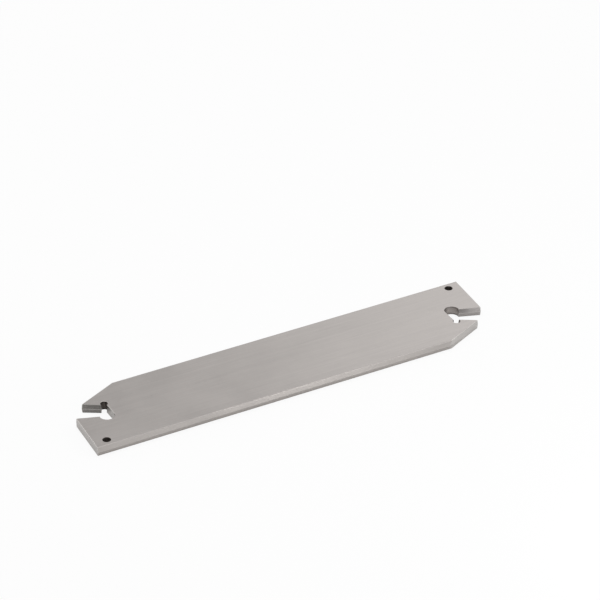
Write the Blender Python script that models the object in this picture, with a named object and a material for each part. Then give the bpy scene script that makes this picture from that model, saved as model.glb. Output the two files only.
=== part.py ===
# Double-ended parting blade for a lathe, lying on its flank as it is laid on a bench.
# X runs along the blade, Y across it and Z through its thickness; all sizes are in metres.
# The origin is in the middle of the lower flank. One end is drawn once, as a profile seen
# from above at the left end, and the other end is the same profile turned by half a turn.

from math import atan2
from math import cos
from math import pi
from math import radians
from math import sin
from math import sqrt
from math import tan

import bmesh
import bpy
from mathutils import Vector

mm = 0.001

# The ground bar that the blade is cut from.
blade_length = 150.0 * mm
blade_height = 32.0 * mm            # apex to apex of the two vee edges
blade_thickness = 3.2 * mm
vee_flank_angle = radians(15.0)     # lean of each flank of a vee edge, from square
edge_break = 0.15 * mm              # 45 degree break along the profile and the pin holes

# The support jaw, which carries the insert: its front face and the seat behind its tip.
front_relief_angle = radians(3.8)   # the front face falls back from the corner to the tip
seat_angle = radians(19.8)          # the seat falls from the tip to the keyhole
tip_radius = 0.2 * mm

# The clamping jaw, a slanted finger whose sharp tip these two sizes place.
nose_setback = 6.2 * mm             # behind the end of the blade
nose_drop = 7.1 * mm                # below the apex of the edge above it
slope_angle = radians(25.4)         # the back of the finger rises to the long edge
nose_radius = 0.2 * mm

# The wedge-shaped pocket between the jaws, and the ridge that keys into the insert's grooves.
wedge_angle = radians(11.6)         # the jaws close on each other by this much, inwards
mouth_opening = 7.7 * mm            # from the sharp nose square to the seat
seat_ridge = 0.25 * mm              # height of the ridge along the middle of both seats

# The relief behind the pocket, which lets the clamping jaw spring.
pocket_depth = 13.2 * mm            # end of the blade to the pocket's back wall
keyhole_radius = 2.45 * mm
keyhole_rise = 0.4 * mm             # keyhole centre above the line of the seat
notch_radius = 1.2 * mm
notch_inset = 0.4 * mm              # notch centre in front of the back wall
notch_rise = 1.0 * mm               # notch centre above the line of the clamping face

# The round holes in the support jaws for the pins of the insert key.
pin_hole_diameter = 2.5 * mm
pin_hole_setback = 4.55 * mm        # behind the end of the blade
pin_hole_rise = 3.1 * mm            # inside the apex of the edge beside it

# Facets on each round stretch.
tip_steps = 10
nose_steps = 12
notch_steps = 24
keyhole_steps = 36
hole_steps = 48
sharp_angle = radians(12.0)         # creases steeper than this stay crisp
least_radius = 0.02 * mm

steel_colour = (0.40, 0.38, 0.36, 1.0)
steel_roughness = 0.36


def heading(angle):
    return Vector((cos(angle), sin(angle)))


def left_of(direction):
    return Vector((-direction.y, direction.x))


# A line is a point and a heading, with the steel on its left.
def inset_line(point, direction, distance):
    return point + left_of(direction) * distance, direction


def meet(first, second):
    point_a, along_a = first
    point_b, along_b = second
    reach = (point_b - point_a).cross(along_b) / along_a.cross(along_b)
    return point_a + along_a * reach


def angle_on_circle(centre, point):
    spoke = point - centre
    return atan2(spoke.y, spoke.x)


# Where a line crosses a circle: on its way in, or on its way out.
def cross_circle(line, centre, radius, way_out):
    point, direction = line
    nearest = point + direction * (centre - point).dot(direction)
    half_chord = sqrt(max(0.0, radius ** 2 - (nearest - centre).length_squared))
    if way_out:
        return nearest + direction * half_chord
    return nearest - direction * half_chord


# Points along an arc that turns clockwise from one angle to another.
def clockwise_arc(centre, radius, start, end, steps):
    sweep = (start - end) % (2 * pi)
    return [centre + heading(start - sweep * step / steps) * radius for step in range(steps + 1)]


# Two lines that turn left at their corner, rounded off; the edge break eats into the radius.
def rounded_corner(first, second, radius, steps):
    radius = max(radius, least_radius)
    corner = meet(first, second)
    turn = first[1].angle(second[1])
    start = corner - first[1] * radius * tan(turn / 2)
    centre = start + left_of(first[1]) * radius
    start_angle = angle_on_circle(centre, start)
    return [centre + heading(start_angle + turn * step / steps) * radius for step in range(steps + 1)]


# The sizes that change through the thickness, at height z above the lower flank.
def section_at(z):
    from_middle = abs(z - blade_thickness / 2)
    broken = max(0.0, from_middle - (blade_thickness / 2 - edge_break))
    vee = from_middle * tan(vee_flank_angle)
    ridge = seat_ridge * (1 - from_middle / (blade_thickness / 2))
    return broken, vee, ridge


# The outline of one end at height z, from the upper long edge down to the lower one.
# Here x counts inwards from the end and y upwards from the apex of the lower edge.
def end_outline(z):
    broken, vee, ridge = section_at(z)

    upper_edge = inset_line(Vector((0, blade_height)), heading(pi), broken + vee)
    lower_edge = inset_line(Vector((0, 0)), heading(0), broken + vee)

    nose_tip = Vector((nose_setback, blade_height - nose_drop))
    clamp_heading = heading(-seat_angle - wedge_angle)
    seat_heading = heading(pi - seat_angle)
    seat_start = nose_tip + left_of(seat_heading) * mouth_opening

    slope = inset_line(nose_tip, heading(pi + slope_angle), broken)
    clamp_face = inset_line(nose_tip, clamp_heading, broken - ridge)
    seat_face = inset_line(seat_start, seat_heading, broken - ridge)
    front_face = inset_line(Vector((0, 0)), heading(-pi / 2 - front_relief_angle), broken)

    # The keyhole touches the back wall, above the line of the seat.
    keyhole_x = pocket_depth - keyhole_radius
    seat_y = meet((seat_start, seat_heading), (Vector((keyhole_x, 0)), heading(pi / 2))).y
    keyhole_centre = Vector((keyhole_x, seat_y + keyhole_rise / cos(seat_angle)))

    # The notch bites into the root of the clamping jaw, beside the back wall, and its
    # other side runs straight down to the clamping face.
    notch_x = pocket_depth - notch_inset
    clamp_y = meet((nose_tip, clamp_heading), (Vector((notch_x, 0)), heading(pi / 2))).y
    notch_centre = Vector((notch_x, clamp_y + notch_rise / cos(seat_angle + wedge_angle)))

    keyhole_size = keyhole_radius + broken
    notch_size = notch_radius + broken
    back_wall = (Vector((pocket_depth + broken, 0)), heading(pi / 2))
    notch_side = (notch_centre - Vector((notch_size, 0)), heading(pi / 2))
    notch_end = cross_circle(back_wall, notch_centre, notch_size, False)
    keyhole_end = cross_circle(seat_face, keyhole_centre, keyhole_size, True)

    outline = [meet(upper_edge, slope)]
    outline += rounded_corner(slope, clamp_face, nose_radius - broken, nose_steps)
    outline.append(meet(clamp_face, notch_side))
    outline += clockwise_arc(notch_centre, notch_size, pi,
                             angle_on_circle(notch_centre, notch_end), notch_steps)
    outline += clockwise_arc(keyhole_centre, keyhole_size, 0,
                             angle_on_circle(keyhole_centre, keyhole_end), keyhole_steps)
    outline += rounded_corner(seat_face, front_face, tip_radius - broken, tip_steps)
    outline.append(meet(front_face, lower_edge))
    return outline


# Both ends at height z, anticlockwise: the left end, then the same end after half a turn.
def blade_outline(z):
    middle = Vector((blade_length / 2, blade_height / 2))
    left_end = [point - middle for point in end_outline(z)]
    right_end = [-point for point in left_end]
    return [Vector((point.x, point.y, z)) for point in left_end + right_end]


def circle_outline(centre, radius, z):
    turns = [2 * pi * step / hole_steps for step in range(hole_steps)]
    return [Vector((centre.x + radius * cos(turn), centre.y + radius * sin(turn), z)) for turn in turns]


# A closed body through a stack of matching outlines, from the lowest to the highest.
def lofted_body(name, outlines):
    build = bmesh.new()
    rings = [[build.verts.new(point) for point in outline] for outline in outlines]
    for below, above in zip(rings, rings[1:]):
        for here in range(len(below)):
            onward = (here + 1) % len(below)
            build.faces.new((below[here], below[onward], above[onward], above[here]))
    build.faces.new(list(reversed(rings[0])))
    build.faces.new(rings[-1])
    mesh = bpy.data.meshes.new(name)
    build.to_mesh(mesh)
    build.free()
    body = bpy.data.objects.new(name, mesh)
    bpy.context.scene.collection.objects.link(body)
    return body


def steel_material():
    material = bpy.data.materials.new("ground_steel")
    material.use_nodes = True
    shader = material.node_tree.nodes["Principled BSDF"]
    shader.inputs["Base Color"].default_value = steel_colour
    shader.inputs["Metallic"].default_value = 1.0
    shader.inputs["Roughness"].default_value = steel_roughness
    return material


# A pin with a cone at each face, so the hole it cuts has broken edges.
def pin_hole_cutter(name, centre):
    radius = pin_hole_diameter / 2
    overshoot = 1.0 * mm
    mouth = radius + edge_break + overshoot
    profile = (
        (-overshoot, mouth),
        (edge_break, radius),
        (blade_thickness - edge_break, radius),
        (blade_thickness + overshoot, mouth),
    )
    cutter = lofted_body(name, [circle_outline(centre, size, z) for z, size in profile])
    cutter.display_type = "WIRE"
    cutter.hide_render = True
    return cutter


def parting_blade():
    heights = (
        0.0,
        edge_break,
        blade_thickness / 2,
        blade_thickness - edge_break,
        blade_thickness,
    )
    blade = lofted_body("parting_blade", [blade_outline(z) for z in heights])
    hole_centre = Vector((pin_hole_setback - blade_length / 2, pin_hole_rise - blade_height / 2))
    for side, centre in (("left", hole_centre), ("right", -hole_centre)):
        cut = blade.modifiers.new("pin_hole_" + side, "BOOLEAN")
        cut.operation = "DIFFERENCE"
        cut.solver = "EXACT"
        cut.object = pin_hole_cutter("pin_hole_cutter_" + side, centre)
    blade.data.materials.append(steel_material())
    blade.data.shade_smooth()
    blade.data.set_sharp_from_angle(angle=sharp_angle)
    return blade


for leftover in list(bpy.data.objects):
    bpy.data.objects.remove(leftover, do_unlink=True)

parting_blade()
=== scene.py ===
# Double-ended parting blade in ground tool steel, lying on a white studio floor.
# Lengths are in metres, in the frame of the CAD model.

from math import atan
from math import cos
from math import pi
from math import radians
from math import sin
from math import tan

import bmesh
import bpy
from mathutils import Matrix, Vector


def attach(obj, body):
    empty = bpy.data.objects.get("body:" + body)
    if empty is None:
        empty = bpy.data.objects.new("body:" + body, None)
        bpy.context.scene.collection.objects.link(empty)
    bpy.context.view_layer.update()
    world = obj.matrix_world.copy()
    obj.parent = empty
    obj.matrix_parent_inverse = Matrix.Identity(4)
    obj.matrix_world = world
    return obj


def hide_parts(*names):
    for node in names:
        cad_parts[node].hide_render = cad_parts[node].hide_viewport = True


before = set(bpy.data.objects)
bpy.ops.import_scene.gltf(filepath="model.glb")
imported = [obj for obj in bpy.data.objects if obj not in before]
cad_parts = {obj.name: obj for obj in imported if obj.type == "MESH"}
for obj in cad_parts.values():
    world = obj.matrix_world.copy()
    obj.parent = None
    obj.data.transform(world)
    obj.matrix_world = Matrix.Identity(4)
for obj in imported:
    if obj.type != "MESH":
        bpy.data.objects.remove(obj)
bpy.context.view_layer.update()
print("frame loaded:", ", ".join(sorted(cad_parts)))

scene = bpy.context.scene

# The blade, sized as the CAD model has it. Setbacks count inwards from the end of the blade
# and rises count up from the apex of the edge beside the support jaw.
blade = {
    "length": 0.150,
    "height": 0.032,            # apex to apex of the vee edges
    "thickness": 0.0032,
    "veeLean": 15.0,            # degrees from square, each facet of a vee edge
    "frontRelief": 3.8,         # degrees from square, the front face of the support jaw
    "seatFall": 19.8,           # degrees, from the tip of the support jaw to the keyhole
    "wedge": 11.6,              # degrees between the seat and the clamping face
    "slope": 25.4,              # degrees, the back of the clamping finger
    "noseSetback": 0.0062,
    "noseRise": 0.0249,
    "mouth": 0.0077,            # from the nose square to the seat
    "ridge": 0.00025,           # height of the ridge along both seats
    "pocketDepth": 0.0132,      # from the end of the blade to the back wall
    "keyholeRadius": 0.00245,
    "keyholeLift": 0.0004,      # of its centre above the seat's line
    "notchRadius": 0.0012,
    "notchInset": 0.0004,       # of its centre in front of the back wall
    "notchLift": 0.0010,        # of its centre above the clamping face's line
    "pinRadius": 0.00125,
    "pinSetback": 0.00455,
    "pinRise": 0.0031,
    "cornerRadius": 0.0002,     # at the tip of the support jaw and at the nose
    "edgeBreak": 0.00015,
    "breakProfile": 0.4,        # a little flatter than round, which is 0.5
    "crestBreak": 0.00006,      # along the vee edges and the ridges
}

# Facets of each round stretch.
facets = {
    "keyhole": 144,
    "notch": 96,
    "pinHole": 96,
    "corner": 6,
    "edgeBreak": 3,
    "crestBreak": 2,
}

halfLength = blade["length"] / 2
halfHeight = blade["height"] / 2
middle = blade["thickness"] / 2
veeLean = radians(blade["veeLean"])
relief = radians(blade["frontRelief"])
seatFall = radians(blade["seatFall"])
clampFall = seatFall + radians(blade["wedge"])
slope = radians(blade["slope"])
ridgeLean = atan(blade["ridge"] / middle)


# A point of the left end, from its setback and its rise.
def atEnd(setback, rise):
    return Vector((setback - halfLength, rise - halfHeight, 0))


nose = atEnd(blade["noseSetback"], blade["noseRise"])
seatUp = Vector((sin(seatFall), cos(seatFall), 0))              # the way the seat faces
clampDown = Vector((-sin(clampFall), -cos(clampFall), 0))       # the way the clamping face does
seatStart = nose - seatUp * blade["mouth"]


# Y of the seat's or the clamping face's line at a given X.
def seatLine(x):
    return seatStart.y - (x - seatStart.x) * tan(seatFall)


def clampLine(x):
    return nose.y - (x - nose.x) * tan(clampFall)


backWallX = blade["pocketDepth"] - halfLength
keyholeX = backWallX - blade["keyholeRadius"]
keyhole = Vector((keyholeX, seatLine(keyholeX) + blade["keyholeLift"] / cos(seatFall), 0))
notchX = backWallX - blade["notchInset"]
notch = Vector((notchX, clampLine(notchX) + blade["notchLift"] / cos(clampFall), 0))
pinHole = atEnd(blade["pinSetback"], blade["pinRise"])

# The tip of the support jaw, where its front face meets the seat's line.
frontLean = tan(relief)
tipX = (frontLean * (seatLine(0) + halfHeight) - halfLength) / (1 + frontLean * tan(seatFall))
tip = Vector((tipX, seatLine(tipX), 0))


# Modelling helpers

mergeGap = 1e-6                     # points nearer than this are one
flushAngle = radians(0.4)           # faces nearer to flush than this are one


def selectOnly(piece):
    for thing in list(bpy.context.selected_objects):
        thing.select_set(False)
    piece.select_set(True)
    bpy.context.view_layer.objects.active = piece


def openMesh(piece):
    selectOnly(piece)
    bpy.ops.object.mode_set(mode="EDIT")


def closeMesh():
    bpy.ops.object.mode_set(mode="OBJECT")


# Selects the faces or edges of the open mesh that pass a test.
def pick(piece, kind, test):
    bpy.ops.mesh.select_mode(type=kind)
    bpy.ops.mesh.select_all(action="DESELECT")
    cage = bmesh.from_edit_mesh(piece.data)
    for part in cage.faces if kind == "FACE" else cage.edges:
        if test(part):
            part.select_set(True)
    bmesh.update_edit_mesh(piece.data)


# Whether a whole face or edge lies at one value of X or Z.
def liesAt(part, axis, value):
    return all(abs(getattr(vertex.co, axis) - value) < mergeGap for vertex in part.verts)


def isSharp(edge, angle):
    return len(edge.link_faces) == 2 and edge.calc_face_angle() > angle


def bevelPicked(offset, segments, profile=0.5, slide=False):
    bpy.ops.mesh.bevel(offset_type="OFFSET", offset=offset, segments=segments, profile=profile,
                       affect="EDGES", clamp_overlap=False, loop_slide=slide)


def fixPlace(piece):
    selectOnly(piece)
    bpy.ops.object.transform_apply(location=True, rotation=True, scale=True)
    return piece


def applyModifier(piece, modifier):
    selectOnly(piece)
    bpy.ops.object.modifier_apply(modifier=modifier.name)


def addBlock(name, low, high):
    low = Vector(low)
    high = Vector(high)
    bpy.ops.mesh.primitive_cube_add(size=1, location=(low + high) / 2, scale=high - low)
    bpy.context.object.name = name
    return fixPlace(bpy.context.object)


def addDrill(name, centre, radius, sides, low, high):
    place = (centre.x, centre.y, (low + high) / 2)
    bpy.ops.mesh.primitive_cylinder_add(vertices=sides, radius=radius, depth=high - low, location=place)
    bpy.context.object.name = name
    return fixPlace(bpy.context.object)


# Mills away all that lies outside a plane.
def mill(piece, point, outward):
    openMesh(piece)
    bpy.ops.mesh.select_all(action="SELECT")
    bpy.ops.mesh.bisect(plane_co=point, plane_no=outward, use_fill=True, clear_outer=True,
                        threshold=mergeGap)
    closeMesh()


def cutOut(piece, cutter):
    cut = piece.modifiers.new("cut", "BOOLEAN")
    cut.operation = "DIFFERENCE"
    cut.solver = "EXACT"
    cut.object = cutter
    applyModifier(piece, cut)
    bpy.data.objects.remove(cutter, do_unlink=True)


def mergeDoubles():
    bpy.ops.mesh.select_all(action="SELECT")
    bpy.ops.mesh.remove_doubles(threshold=mergeGap)
    bpy.ops.mesh.dissolve_limited(angle_limit=flushAngle)


# Modelling the blade: the lower half of the left end, then the right end, then the upper half

overshoot = 0.001                   # of the cutters below and above the half
mouthLead = 0.004                   # of the wedge in front of the blade's end
slotReach = 0.002                   # of the notch's straight part below its centre
cornerReach = 0.0006                # edges this near to a corner belong to it
uprightLength = middle * 0.9        # edges there that are longer run through the thickness
breakAngle = radians(30)            # edges of the flank sharper than this are broken
crestAngle = radians(5)             # edges of the middle sharper than this are crests
crestLength = 0.001                 # where they are longer than this
smoothAngle = radians(35)           # shading is smooth across edges less sharp than this

steel = addBlock("ground_blade", (-halfLength, -halfHeight, 0), (0, halfHeight, middle))
for side in (-1, 1):
    mill(steel, (0, side * halfHeight, middle), (0, side * cos(veeLean), -sin(veeLean)))
mill(steel, atEnd(0, 0), (-cos(relief), sin(relief), 0))
mill(steel, nose, (-sin(slope), cos(slope), 0))


# The way a seat or clamping face points below its ridge.
def belowRidge(outward):
    return outward * cos(ridgeLean) + Vector((0, 0, -sin(ridgeLean)))


# The wedge of the pocket leans on both sides, which leaves the ridges standing.
deepLow = -overshoot
deepHigh = middle + overshoot
wedgeLow = (-halfLength - mouthLead, -halfHeight / 2, deepLow)
wedge = addBlock("wedge", wedgeLow, (backWallX, halfHeight, deepHigh))
mill(wedge, seatStart, -belowRidge(seatUp))
mill(wedge, nose, -belowRidge(clampDown))

# Its far corner comes off inside the keyhole, so that only the drill cuts there.
keyholeFoot = Vector((keyholeX, seatLine(keyholeX), 0))
keyholeSide = Vector((backWallX, keyhole.y, 0))
footWay = (keyholeSide - keyholeFoot).normalized()
mill(wedge, keyholeFoot, (footWay.y, -footWay.x, 0))
cutOut(steel, wedge)

slotLow = (notch.x - blade["notchRadius"], notch.y - slotReach, deepLow)
cutOut(steel, addBlock("notch_slot", slotLow, (backWallX, notch.y, deepHigh)))
for name, centre, radius, sides in (
        ("notch_drill", notch, blade["notchRadius"], facets["notch"]),
        ("keyhole_drill", keyhole, blade["keyholeRadius"], facets["keyhole"]),
        ("pin_drill", pinHole, blade["pinRadius"], facets["pinHole"])):
    cutOut(steel, addDrill(name, centre, radius, sides, deepLow, deepHigh))
print("pocket and pin hole cut:", len(steel.data.polygons), "faces")

# The nose and the tip of the support jaw are stoned round.
openMesh(steel)
mergeDoubles()
for corner, halfAngle in ((nose, (slope + clampFall) / 2), (tip, (pi / 2 - seatFall + relief) / 2)):
    pick(steel, "EDGE", lambda edge: edge.calc_length() > uprightLength
         and all((vertex.co.xy - corner.xy).length < cornerReach for vertex in edge.verts))
    bevelPicked(blade["cornerRadius"] / tan(halfAngle), facets["corner"], slide=True)

# The right end is the left one turned by half a turn.
pick(steel, "FACE", lambda face: liesAt(face, "z", middle) or liesAt(face, "x", 0))
bpy.ops.mesh.delete(type="FACE")
bpy.ops.mesh.select_all(action="SELECT")
bpy.ops.mesh.duplicate()
bpy.ops.transform.rotate(value=pi, orient_axis="Z", center_override=(0, 0, middle))
mergeDoubles()

# Every edge of the flank is broken, and the half is mirrored.
pick(steel, "EDGE", lambda edge: liesAt(edge, "z", 0) and isSharp(edge, breakAngle))
bevelPicked(blade["edgeBreak"], facets["edgeBreak"], profile=blade["breakProfile"])
bpy.ops.mesh.select_all(action="SELECT")
bpy.ops.mesh.duplicate()
bpy.ops.transform.resize(value=(1, 1, -1), center_override=(0, 0, middle))
bpy.ops.mesh.flip_normals()
mergeDoubles()
bpy.ops.mesh.select_all(action="SELECT")
bpy.ops.mesh.normals_make_consistent(inside=False)

# The crests of the vee edges and of the ridges are dulled.
pick(steel, "EDGE", lambda edge: liesAt(edge, "z", middle) and isSharp(edge, crestAngle)
     and edge.calc_length() > crestLength)
bevelPicked(blade["crestBreak"], facets["crestBreak"])
closeMesh()
print("blade closed:", len(steel.data.polygons), "faces")

bpy.ops.object.shade_smooth_by_angle(angle=smoothAngle)
evener = steel.modifiers.new("even_normals", "WEIGHTED_NORMAL")
evener.keep_sharp = True
evener.weight = 80                  # above 50 the larger faces lead
applyModifier(steel, evener)

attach(steel, "root")
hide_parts("parting_blade")


# Node helpers

nodeSpacing = (200, -180)           # from column to column and from row to row


# Gives a socket its value, or links it to the socket that it is given.
def feed(tree, socket, value):
    if isinstance(value, bpy.types.NodeSocket):
        tree.links.new(value, socket)
    else:
        socket.default_value = value


# Adds a node with its settings made and its inputs fed.
def addNode(tree, kind, column, row, inputs=None, **settings):
    node = tree.nodes.new(kind)
    node.location = (column * nodeSpacing[0], row * nodeSpacing[1])
    for name, value in settings.items():
        setattr(node, name, value)
    for label, value in (inputs or {}).items():
        feed(tree, node.inputs[label], value)
    return node


# Math nodes have several sockets of one name, so they are fed by number.
def addMath(tree, column, row, operation, *values):
    node = addNode(tree, "ShaderNodeMath", column, row, operation=operation)
    for number, value in enumerate(values):
        feed(tree, node.inputs[number], value)
    return node.outputs["Value"]


def addVectorMath(tree, column, row, operation, first, second):
    node = addNode(tree, "ShaderNodeVectorMath", column, row, operation=operation)
    feed(tree, node.inputs[0], first)
    feed(tree, node.inputs[1], second)
    return node


# Stretches a value from one range to another, with its ends held.
def addRange(tree, column, row, value, fromLow=0.0, fromHigh=1.0, toLow=0.0, toHigh=1.0):
    return addNode(tree, "ShaderNodeMapRange", column, row, {
        "Value": value,
        "From Min": fromLow,
        "From Max": fromHigh,
        "To Min": toLow,
        "To Max": toHigh,
    }).outputs["Result"]


def addNoise(tree, column, row, place, scale, detail, roughness=0.5):
    return addNode(tree, "ShaderNodeTexNoise", column, row, {
        "Vector": place,
        "Scale": scale,
        "Detail": detail,
        "Roughness": roughness,
    }).outputs["Fac"]


# A place multiplied by one number along X and by another across it, which stretches a pattern.
def addStretch(tree, column, row, place, along, across):
    factors = addNode(tree, "ShaderNodeCombineXYZ", column, row + 1, {
        "X": along, "Y": across, "Z": across})
    stretched = addVectorMath(tree, column + 1, row, "MULTIPLY", place, factors.outputs["Vector"])
    return stretched.outputs["Vector"]


# A new shared effect, which puts out one value.
def newEffect(name, output, inputs):
    group = bpy.data.node_groups.new(name, "ShaderNodeTree")
    for label, kind, value in inputs:
        socket = group.interface.new_socket(name=label, in_out="INPUT", socket_type=kind)
        socket.default_value = value
    group.interface.new_socket(name=output, in_out="OUTPUT", socket_type="NodeSocketFloat")
    given = addNode(group, "NodeGroupInput", -4, 0).outputs
    result = addNode(group, "NodeGroupOutput", 5, 0).inputs[output]
    return group, given, result


# Places a shared effect in a material.
def placeEffect(tree, effect, column, row, inputs):
    return addNode(tree, "ShaderNodeGroup", column, row, inputs, node_tree=effect).outputs[0]


# Which rays see a surface: those from the camera, straight or through glass, and reflected ones.
def addRays(tree, column, row):
    rays = addNode(tree, "ShaderNodeLightPath", column, row).outputs
    seen = addMath(tree, column + 1, row, "MAXIMUM", rays["Is Camera Ray"], rays["Is Transmission Ray"])
    return seen, rays["Is Glossy Ray"]


def newMaterial(name):
    material = bpy.data.materials.new(name)
    material.use_nodes = True
    material.node_tree.nodes.clear()
    return material


# Effects that the finishes of the steel share

# Lines left by the wheel, running along X: fine ones, and fainter bands of them.
def makeWheelLines():
    group, given, result = newEffect("wheelLines", "Lines", (
        ("Place", "NodeSocketVector", (0, 0, 0)),
        ("Along", "NodeSocketFloat", 60.0),         # breaks in a line, to the metre
        ("Across", "NodeSocketFloat", 9000.0)))     # lines to the metre
    bandScale = 0.16
    bandShare = 0.3
    place = addStretch(group, -3, 0, given["Place"], given["Along"], given["Across"])
    fine = addNoise(group, -1, 0, place, scale=1.0, detail=4.0, roughness=0.65)
    bands = addNoise(group, -1, 2, place, scale=bandScale, detail=2.0)
    both = addMath(group, 0, 0, "MULTIPLY_ADD", bands, bandShare, fine)
    feed(group, result, addRange(group, 2, 0, both, fromLow=0.43, fromHigh=0.87))
    return group


# Broad soft patches, with smaller ones inside them.
def makeSteelPatches():
    group, given, result = newEffect("steelPatches", "Patches", (
        ("Place", "NodeSocketVector", (0, 0, 0)),
        ("Count", "NodeSocketFloat", 60.0)))        # broad patches to the metre
    smallScale = 9.0
    smallShare = 0.35
    smallCount = addMath(group, -3, 2, "MULTIPLY", given["Count"], smallScale)
    broad = addNoise(group, -2, 0, given["Place"], scale=given["Count"], detail=2.0)
    small = addNoise(group, -2, 2, given["Place"], scale=smallCount, detail=5.0, roughness=0.6)
    both = addMath(group, 0, 0, "MULTIPLY_ADD", small, smallShare, broad)
    feed(group, result, addRange(group, 2, 0, both, fromLow=0.42, fromHigh=0.93))
    return group


# Where handling has rubbed the edges: a narrow ragged band.
def makeRubbedEdge():
    group, given, result = newEffect("rubbedEdge", "Rub", (
        ("Place", "NodeSocketVector", (0, 0, 0)),
        ("Reach", "NodeSocketFloat", 0.0004)))
    rounded = addNode(group, "ShaderNodeBevel", -2, 0, {"Radius": given["Reach"]}, samples=6)
    plain = addNode(group, "ShaderNodeNewGeometry", -2, 1)
    match = addVectorMath(group, -1, 0, "DOT_PRODUCT", rounded.outputs["Normal"], plain.outputs["Normal"])
    band = addRange(group, 0, 0, match.outputs["Value"], fromLow=0.995, fromHigh=0.85)
    ragged = addNoise(group, -1, 2, given["Place"], scale=700.0, detail=4.0)
    broken = addRange(group, 0, 2, ragged, fromLow=0.35, fromHigh=0.6, toLow=0.2)
    feed(group, result, addMath(group, 2, 0, "MULTIPLY", band, broken))
    return group


# Sparse hairline marks from use, all at one slant. Each has a cell of its own to lie in.
def makeHairMarks():
    group, given, result = newEffect("hairMarks", "Marks", (
        ("Place", "NodeSocketVector", (0, 0, 0)),
        ("Slant", "NodeSocketFloat", 0.6),
        ("Length", "NodeSocketFloat", 0.003),
        ("Width", "NodeSocketFloat", 0.00004)))
    cellShare = 0.1                 # of its cell that a mark takes up, along and across
    slanted = addNode(group, "ShaderNodeVectorRotate", -4, 0, {
        "Vector": given["Place"], "Angle": given["Slant"]}, rotation_type="Z_AXIS")
    along = addMath(group, -4, 2, "DIVIDE", cellShare, given["Length"])
    across = addMath(group, -4, 3, "DIVIDE", cellShare, given["Width"])
    place = addStretch(group, -3, 0, slanted.outputs["Vector"], along, across)
    cells = addNode(group, "ShaderNodeTexVoronoi", -1, 0, {"Vector": place, "Scale": 1.0}, feature="F1")
    feed(group, result, addRange(group, 0, 0, cells.outputs["Distance"],
                                 fromLow=0.03, fromHigh=0.09, toLow=1.0, toHigh=0.0))
    return group


# Painted shade in a hole, darkest toward both flanks.
def makeBoreShade():
    group, given, result = newEffect("boreShade", "ShadeAmount", (
        ("Place", "NodeSocketVector", (0, 0, 0)),
        ("Middle", "NodeSocketFloat", 0.0),         # height of the middle, and half the thickness
        ("Reach", "NodeSocketFloat", 0.0009)))      # from a flank into the hole
    patchShare = 0.6
    height = addNode(group, "ShaderNodeSeparateXYZ", -3, 0, {"Vector": given["Place"]}).outputs["Z"]
    offset = addMath(group, -2, 0, "SUBTRACT", height, given["Middle"])
    offMiddle = addMath(group, -1, 0, "ABSOLUTE", offset)
    depth = addMath(group, -1, 1, "SUBTRACT", given["Middle"], offMiddle)
    share = addMath(group, 0, 0, "DIVIDE", depth, given["Reach"])
    patchy = addNoise(group, -1, 2, given["Place"], scale=900.0, detail=3.0)
    clean = addMath(group, 1, 0, "MULTIPLY_ADD", patchy, patchShare, share)
    feed(group, result, addRange(group, 2, 0, clean, fromLow=0.4, fromHigh=1.2, toLow=1.0, toHigh=0.0))
    return group


wheelLines = makeWheelLines()
steelPatches = makeSteelPatches()
rubbedEdge = makeRubbedEdge()
hairMarks = makeHairMarks()
boreShade = makeBoreShade()

# Sizes and strengths of the wear, and the reach of the painted shade in holes, which all finishes share.
wear = {
    "patchCount": 70.0,             # to the metre
    "rubReach": 0.0004,
    "markSlant": 0.5,               # radians
    "markLength": 0.006,
    "markWidth": 0.00008,
    "markTone": 0.2,                # how much lighter a full mark is
    "markGloss": 0.1,               # how much less rough
    # how far the painted shade in a hole reaches in from each flank
    "shadeReach": 0.0009,
}

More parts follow.
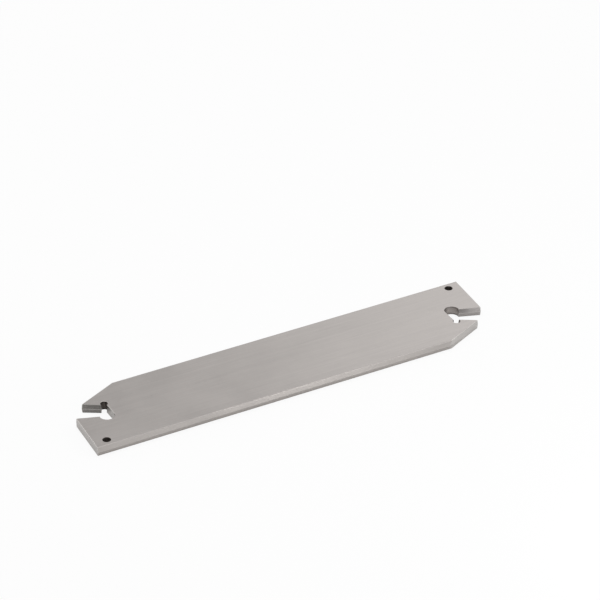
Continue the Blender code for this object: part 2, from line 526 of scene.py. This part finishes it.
# The finishes of the steel. Lines run along X unless they are turned, their counts are to the
# metre, along and across, and depths are in metres.
finishes = {
    "groundFlank": {
        "colour": (0.398, 0.373, 0.358),
        "roughness": (0.31, 0.37),
        "tone": 0.05,
        "turn": (0, 0, 0),
        "lines": (50, 7000),
        "lineTone": 0.07,
        "lineDepth": 0.0000008,
        "rub": 0.35,
        "marks": 0.6,
        "paintedShade": 0.0,
    },
    # The vee facets: the flank's ground steel painted lighter, as painted sheen.
    "groundVee": {
        "colour": (0.460, 0.432, 0.413),
        "roughness": (0.30, 0.36),
        "tone": 0.05,
        "turn": (0, 0, 0),
        "lines": (30, 9000),
        "lineTone": 0.08,
        "lineDepth": 0.0000010,
        "rub": 0.30,
        "marks": 0.3,
        "paintedShade": 0.0,
    },
    # The end walls and the back wall: ground steel painted lighter, as a painted reflection of the bright
    # floor.
    "groundEnd": {
        "colour": (0.515, 0.495, 0.477),
        "roughness": (0.34, 0.42),
        "tone": 0.06,
        "turn": (0, pi / 2, 0),
        "lines": (120, 8000),
        "lineTone": 0.08,
        "lineDepth": 0.0000010,
        "rub": 0.30,
        "marks": 0.0,
        "paintedShade": 0.0,
    },
    "wireCutSeat": {
        "colour": (0.392, 0.371, 0.359),
        "roughness": (0.38, 0.46),
        "tone": 0.07,
        "turn": (0, pi / 2, 0),
        "lines": (120, 8000),
        "lineTone": 0.08,
        "lineDepth": 0.0000012,
        "rub": 0.30,
        "marks": 0.0,
        "paintedShade": 0.0,
    },
    # The clamping face: the seat's wire-cut steel, a little rougher and painted darker as painted shade
    # of the slot it faces.
    "shadedClamp": {
        "colour": (0.250, 0.240, 0.230),
        "roughness": (0.40, 0.48),
        "tone": 0.08,
        "turn": (0, pi / 2, 0),
        "lines": (120, 8000),
        "lineTone": 0.08,
        "lineDepth": 0.0000012,
        "rub": 0.30,
        "marks": 0.0,
        "paintedShade": 0.0,
    },
    "drilledBore": {
        "colour": (0.430, 0.397, 0.378),
        "roughness": (0.42, 0.52),
        "tone": 0.10,
        "turn": (0, 0, 0),
        "lines": (200, 6000),
        "lineTone": 0.12,
        "lineDepth": 0.0000014,
        "rub": 0.0,
        "marks": 0.0,
        "paintedShade": 0.6,
    },
    # The notch's walls and the pin hole: the same steel painted near black, as painted shade of these
    # deep recesses.
    "shadedBore": {
        "colour": (0.156, 0.136, 0.125),
        "roughness": (0.44, 0.54),
        "tone": 0.10,
        "turn": (0, 0, 0),
        "lines": (200, 6000),
        "lineTone": 0.12,
        "lineDepth": 0.0000014,
        "rub": 0.0,
        "marks": 0.0,
        "paintedShade": 0.6,
    },
    # Broken edges and dulled crests: stoned a little glossier, and painted lighter as a painted
    # highlight.
    "brokenEdge": {
        "colour": (0.540, 0.513, 0.495),
        "roughness": (0.26, 0.34),
        "tone": 0.06,
        "turn": (0, 0, 0),
        "lines": (80, 12000),
        "lineTone": 0.06,
        "lineDepth": 0.0000006,
        "rub": 0.0,
        "marks": 0.0,
        "paintedShade": 0.0,
    },
}


def steelFinish(name, finish):
    material = newMaterial(name)
    tree = material.node_tree

    place = addNode(tree, "ShaderNodeTexCoord", -4, 0).outputs["Object"]
    turned = addNode(tree, "ShaderNodeMapping", -3, 0, {"Vector": place, "Rotation": finish["turn"]})
    along, across = finish["lines"]
    lines = placeEffect(tree, wheelLines, -2, 0, {
        "Place": turned.outputs["Vector"], "Along": along, "Across": across})
    patches = placeEffect(tree, steelPatches, -2, 1, {"Place": place, "Count": wear["patchCount"]})
    rub = placeEffect(tree, rubbedEdge, -2, 2, {"Place": place, "Reach": wear["rubReach"]})
    marks = placeEffect(tree, hairMarks, -2, 3, {
        "Place": place,
        "Slant": wear["markSlant"],
        "Length": wear["markLength"],
        "Width": wear["markWidth"],
    })
    paintedShade = placeEffect(tree, boreShade, -2, 4, {
        "Place": place, "Middle": middle, "Reach": wear["shadeReach"]})

    # Tone: lines and patches darken or lighten the steel a little, rubbed edges and hairline
    # marks show it bright, and the painted shade of the holes darkens it.
    level = 1.0
    for row, (source, low, high) in enumerate((
            (patches, 1 - finish["tone"], 1 + finish["tone"]),
            (lines, 1 - finish["lineTone"], 1 + finish["lineTone"]),
            (rub, 1, 1 + finish["rub"]),
            (marks, 1, 1 + wear["markTone"] * finish["marks"]),
            (paintedShade, 1, 1 - finish["paintedShade"]))):
        tone = addRange(tree, 0, row, source, toLow=low, toHigh=high)
        level = addMath(tree, 2, row, "MULTIPLY", level, tone)
    colour = addNode(tree, "ShaderNodeMix", 4, 0, {
        "Factor": 1.0,
        "A": (*finish["colour"], 1),
        "B": level,
    }, data_type="RGBA", blend_type="MULTIPLY")

    smooth, rough = finish["roughness"]
    spread = addRange(tree, 0, 6, patches, toLow=smooth, toHigh=rough)
    polish = -wear["markGloss"] * finish["marks"]
    roughness = addMath(tree, 2, 6, "MULTIPLY_ADD", marks, polish, spread)

    height = addMath(tree, 2, 8, "MULTIPLY_ADD", marks, -finish["marks"], lines)
    bump = addNode(tree, "ShaderNodeBump", 4, 8, {"Distance": finish["lineDepth"], "Height": height})

    shader = addNode(tree, "ShaderNodeBsdfPrincipled", 6, 0, {
        "Base Color": colour.outputs["Result"],
        "Metallic": 1.0,
        "Roughness": roughness,
        "Normal": bump.outputs["Normal"],
    })
    addNode(tree, "ShaderNodeOutputMaterial", 8, 0, {"Surface": shader.outputs["BSDF"]})
    return material


for name, finish in finishes.items():
    steel.data.materials.append(steelFinish(name, finish))
finishNames = list(finishes)

# How faces are told apart. Squareness is a normal's share along the way it should point.
sorting = {
    "flankSquare": 0.999,
    "veeSquare": 0.99,
    "wallSquare": 0.98,
    "seatSquare": 0.95,
    "veeBand": 0.0012,              # the vee facets' middles lie this near to the long edge
    "holeGap": 0.00002,             # corners this near to a hole's radius lie on its wall
    "notchBackX": -0.7,             # X of the normals of the notch's inner side is below this
    "notchBackY": -0.35,            # and their Y is above this
    "slack": 1.02,                  # sizes of broken edges are stretched by this much
}


# The inner side of the notch, which runs on into the back wall.
def isNotchBack(sideways):
    return sideways.x < sorting["notchBackX"] and sideways.y > sorting["notchBackY"]


# Which finish a face has, from its place and the way it points, turned back to the left end.
# Rims along the vees, the keyhole and the notch look like the flank, and the other rims of
# the pocket and the pin hole like the wall below them. Those of the outer profile are painted lighter, as
# a painted highlight.
def finishOf(face, corners):
    end = -1 if face.center.x > 0 else 1
    heights = [corner.z for corner in corners]
    breakReach = blade["edgeBreak"] * sorting["slack"]
    if abs(face.normal.z) > sorting["flankSquare"]:
        return "groundFlank"
    if all(abs(height - middle) < blade["crestBreak"] * sorting["slack"] for height in heights):
        return "brokenEdge"

    isRim = max(heights) < breakReach or min(heights) > blade["thickness"] - breakReach
    outset = breakReach if isRim else sorting["holeGap"]
    sideways = Vector((end * face.normal.x, end * face.normal.y, 0)).normalized()
    # The notch's walls and the pin hole get steel painted dark as painted shade, and the notch's inner
    # side gets the lighter end steel.
    notchWall = "groundEnd" if isNotchBack(sideways) else "shadedBore"
    for axis, radius, wall, rim in (
            (keyhole, blade["keyholeRadius"], "drilledBore", "groundFlank"),
            (notch, blade["notchRadius"], notchWall, "groundFlank"),
            (pinHole, blade["pinRadius"], "shadedBore", "shadedBore")):
        reaches = [(end * corner.xy - axis.xy).length - radius for corner in corners]
        if min(reaches) > -sorting["holeGap"] and max(reaches) < outset:
            return rim if isRim else wall

    isVee = abs(face.center.y) > halfHeight - sorting["veeBand"]
    if isVee and abs(sideways.y) > sorting["veeSquare"]:
        return "groundFlank" if isRim else "groundVee"
    # The clamping face gets steel painted darker as painted shade.
    if sideways.dot(clampDown) > sorting["seatSquare"]:
        return "shadedClamp"
    # The straight side of the notch gets steel painted dark as painted shade.
    if sideways.x > sorting["wallSquare"]:
        return "shadedBore"           # the straight side of the notch
    if sideways.dot(seatUp) > sorting["seatSquare"]:
        return "wireCutSeat"
    if sideways.x < -sorting["wallSquare"] and end * face.center.x > keyhole.x:
        return "groundEnd"          # the back wall
    return "brokenEdge" if isRim else "groundEnd"


for face in steel.data.polygons:
    corners = [steel.data.vertices[index].co for index in face.vertices]
    face.material_index = finishNames.index(finishOf(face, corners))
tally = {name: sum(1 for face in steel.data.polygons if face.material_index == number)
         for number, name in enumerate(finishNames)}
print("finishes laid on:", tally)

# Camera
eye = {
    "aim": (0.0253, 0.0350, 0.0),
    "distance": 1.1360,
    "turn": 28.740,                 # degrees round from straight along Y
    "tilt": 32.060,                 # degrees down
    "lens": 201.72,                 # millimetres
    "sensor": 36.0,                 # millimetres across
    "nearest": 0.01,
    "farthest": 20,
}
turn = radians(eye["turn"])
tilt = radians(eye["tilt"])
onward = Vector((sin(turn) * cos(tilt), cos(turn) * cos(tilt), -sin(tilt)))
bpy.ops.object.camera_add(location=Vector(eye["aim"]) - onward * eye["distance"])
camera = bpy.context.object
camera.rotation_euler = onward.to_track_quat("-Z", "Y").to_euler()
camera.data.lens = eye["lens"]
camera.data.sensor_width = eye["sensor"]
camera.data.clip_start = eye["nearest"]
camera.data.clip_end = eye["farthest"]
scene.camera = camera

# Studio: a white floor, a white surround and softboxes. Levels are radiance, where 1 is white.
studio = {
    "floorSize": 6,                 # metres across
    "floorDrop": 0.00002,           # below the blade, so that their faces don't meet
    "floorColour": (0.92, 0.92, 0.92),
    "floorGlow": {"camera": 0.88, "glossy": 0.10},      # share of plain white each ray sees
    "surround": {"camera": 1.0, "glossy": 0.795, "rest": 0.55},
}
softboxes = {
    "top": {"place": (-0.1, 0.0, 0.9), "size": (1.1, 1.1), "level": 0.95},
    "key": {"place": (0.62, 0.62, 0.48), "size": (0.5, 0.4), "level": 0.77},
    "right": {"place": (0.8, -0.1, 0.2), "size": (0.5, 0.3), "level": 1.0},
    "left": {"place": (-0.35, 0.8, 0.2), "size": (0.5, 0.3), "level": 1.3},
    "bench": {"place": (0.16, -0.16, 0.16), "size": (0.12, 0.12), "level": 1.5},
    "near": {"place": (0.068, -0.160, 0.017), "size": (0.055, 0.03), "level": 3.6},
}

# Each softbox points at the origin. The energy of an area lamp is its radiance times pi and its area.
for name, box in softboxes.items():
    place = Vector(box["place"])
    bpy.ops.object.light_add(type="AREA", location=place)
    lamp = bpy.context.object
    lamp.name = name + "_softbox"
    lamp.rotation_euler = (-place).to_track_quat("-Z", "Y").to_euler()
    lamp.data.shape = "RECTANGLE"
    lamp.data.size, lamp.data.size_y = box["size"]
    lamp.data.energy = box["level"] * pi * box["size"][0] * box["size"][1]
    lamp.visible_camera = False

bpy.ops.mesh.primitive_plane_add(size=studio["floorSize"], location=(0, 0, -studio["floorDrop"]))
floor = fixPlace(bpy.context.object)
floor.name = "floor"

# The floor glows for the camera, and a little in reflections. For the rest it is matt paint.
paint = newMaterial("floorPaint")
tree = paint.node_tree
seen, reflected = addRays(tree, 0, 2)
seenGlow = addMath(tree, 2, 2, "MULTIPLY", seen, studio["floorGlow"]["camera"])
metalGlow = addMath(tree, 2, 3, "MULTIPLY", reflected, studio["floorGlow"]["glossy"])
matt = addNode(tree, "ShaderNodeBsdfDiffuse", 3, 0, {"Color": (*studio["floorColour"], 1)})
white = addNode(tree, "ShaderNodeEmission", 3, 1)
blend = addNode(tree, "ShaderNodeMixShader", 4, 0, {
    "Fac": addMath(tree, 3, 2, "MAXIMUM", seenGlow, metalGlow)})
tree.links.new(matt.outputs["BSDF"], blend.inputs[1])
tree.links.new(white.outputs["Emission"], blend.inputs[2])
addNode(tree, "ShaderNodeOutputMaterial", 5, 0, {"Surface": blend.outputs["Shader"]})
floor.data.materials.append(paint)

# The surround has one level for the camera, one in reflections and one for all other light.
scene.world = bpy.data.worlds.new("studio")
scene.world.use_nodes = True
tree = scene.world.node_tree
seen, reflected = addRays(tree, -4, 0)
unseenLevel = addRange(tree, -2, 1, reflected,
                       toLow=studio["surround"]["rest"], toHigh=studio["surround"]["glossy"])
strength = addNode(tree, "ShaderNodeMix", -1, 0, {
    "Factor": seen, "A": unseenLevel, "B": studio["surround"]["camera"]}, data_type="FLOAT")
backdrop = tree.nodes["Background"]
backdrop.inputs["Color"].default_value = (1, 1, 1, 1)
tree.links.new(strength.outputs["Result"], backdrop.inputs["Strength"])
scene.view_settings.view_transform = "Standard"
print("studio lit by", len(softboxes), "softboxes")
